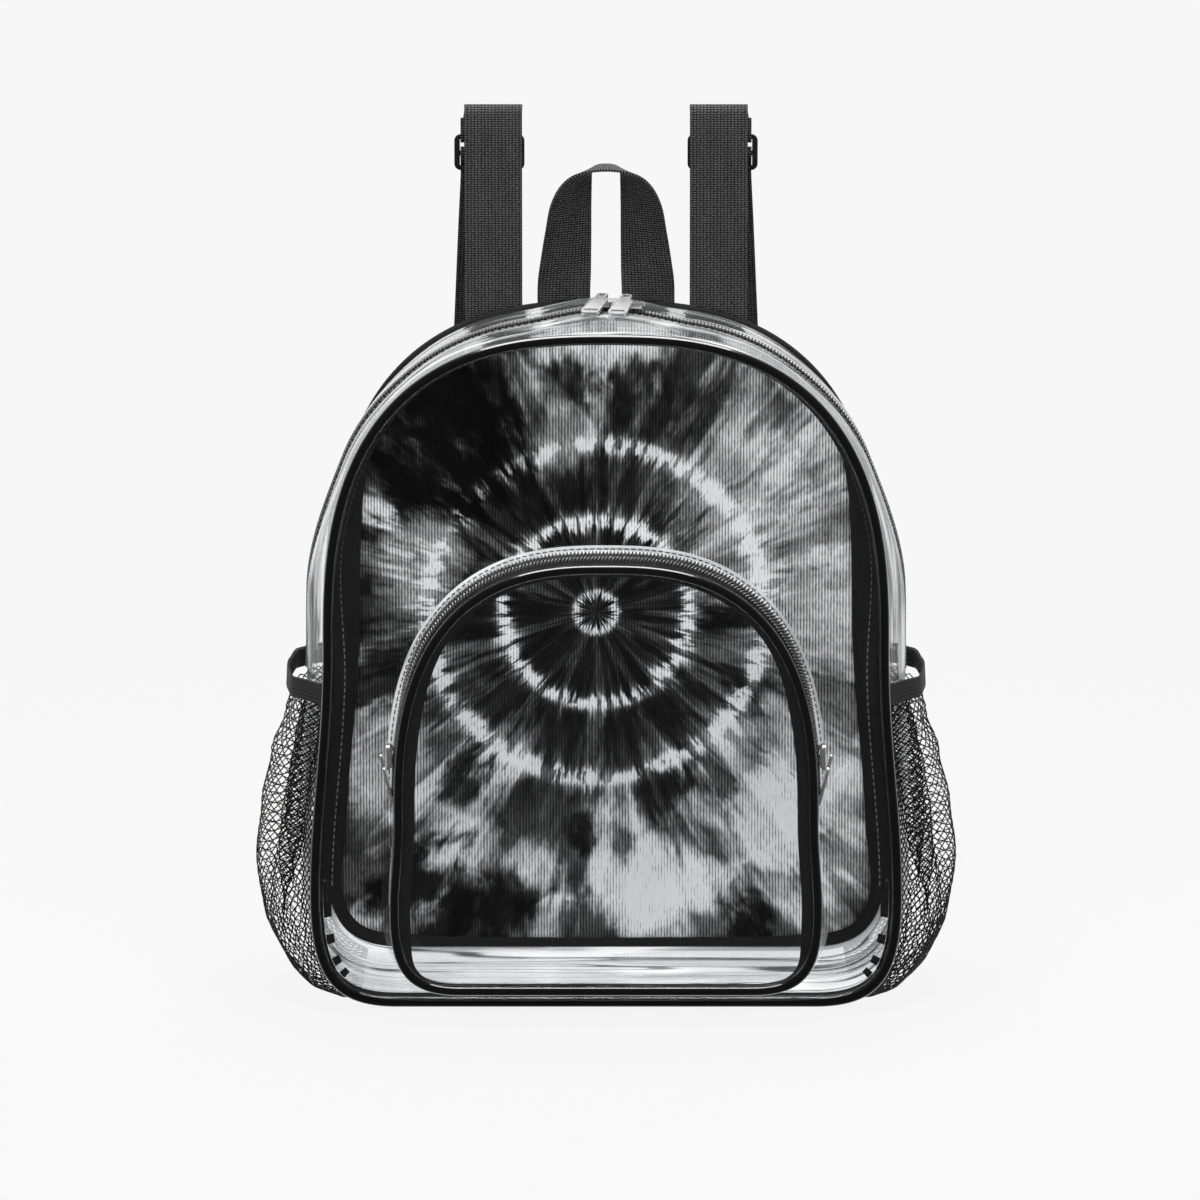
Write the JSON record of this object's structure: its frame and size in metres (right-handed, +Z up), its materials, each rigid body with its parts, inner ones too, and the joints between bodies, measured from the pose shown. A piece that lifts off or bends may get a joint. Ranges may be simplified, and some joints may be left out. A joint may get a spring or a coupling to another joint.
{
  "type": "clear stadium backpack",
  "caption": "Small clear vinyl backpack with an arched zipped body, front pocket, net side pockets, printed cloth back, webbing shoulder straps and a grab handle.",
  "frame": {"origin": "middle of the bottom of the box round the whole pack, on the ground", "axes": "front faces -Y, +X to the right when seen from the front, +Z up"},
  "size_m": [0.3278, 0.2006, 0.4024],
  "materials": {
    "clear_vinyl": "clear, glossy, smooth sheet",
    "printed_cloth": "ribbed cloth with a black, grey and white tie-dye print",
    "black_piping": "glossy black vinyl-covered cord",
    "black_binding": "matte black folded tape",
    "zipper_tape": "black woven tape",
    "zipper_coil": "black coil",
    "net_mesh": "black knitted net",
    "elastic": "ribbed black elastic",
    "webbing": "dark woven webbing",
    "buckle_plastic": "moulded black, satin",
    "zipper_metal": "nickel-plated cast metal"
  },
  "bodies": {
    "pack": {"front_panel": "clear_vinyl", "back_panel": "printed_cloth", "front_piping": "black_piping", "back_binding": "black_binding", "gusset_lower": "clear_vinyl", "gusset_front": "clear_vinyl", "gusset_back": "clear_vinyl", "zipper_tape_front": "zipper_tape", "zipper_tape_back": "zipper_tape", "zipper_chain": "zipper_coil", "pocket_front": "clear_vinyl", "pocket_piping": "black_piping", "pocket_gusset_upper": "clear_vinyl", "pocket_gusset_lower": "clear_vinyl", "pocket_tape_back": "zipper_tape", "pocket_tape_front": "zipper_tape", "pocket_chain": "zipper_coil", "net_pocket_right": "net_mesh", "net_pocket_left": "net_mesh", "elastic_band_right": "elastic", "elastic_band_left": "elastic", "strap_upper_right": "webbing", "strap_upper_left": "webbing", "strap_lower_right": "webbing", "strap_lower_left": "webbing", "strap_buckle_right": "buckle_plastic", "strap_buckle_left": "buckle_plastic", "grab_handle": "webbing", "zipper_right_slider": "zipper_metal", "zipper_left_slider": "zipper_metal", "pocket_zipper_right_slider": "zipper_metal", "pocket_zipper_left_slider": "zipper_metal"},
    "zipper_right_pull": {"zipper_right_pull": "zipper_metal"},
    "zipper_left_pull": {"zipper_left_pull": "zipper_metal"},
    "pocket_zipper_right_pull": {"pocket_zipper_right_pull": "zipper_metal"},
    "pocket_zipper_left_pull": {"pocket_zipper_left_pull": "zipper_metal"}
  },
  "joints": [
    {"name": "zipper_right_pull_hinge", "type": "hinge", "parent": "pack", "child": "zipper_right_pull", "pos_m": [0.00938, -0.01081, 0.32221], "axis": [-0.978, 0.2079, 0.0139], "range_deg": [0, 150]},
    {"name": "zipper_left_pull_hinge", "type": "hinge", "parent": "pack", "child": "zipper_left_pull", "pos_m": [-0.00145, -0.01081, 0.32278], "axis": [-0.9563, 0.2924, -0.0038], "range_deg": [0, 150]},
    {"name": "pocket_zipper_right_pull_hinge", "type": "hinge", "parent": "pack", "child": "pocket_zipper_right_pull", "pos_m": [0.10218, -0.0819, 0.12094], "axis": [0, -1, 0], "range_deg": [0, 120]},
    {"name": "pocket_zipper_left_pull_hinge", "type": "hinge", "parent": "pack", "child": "pocket_zipper_left_pull", "pos_m": [-0.10218, -0.0819, 0.12094], "axis": [0, 1, 0], "range_deg": [0, 120]}
  ]
}
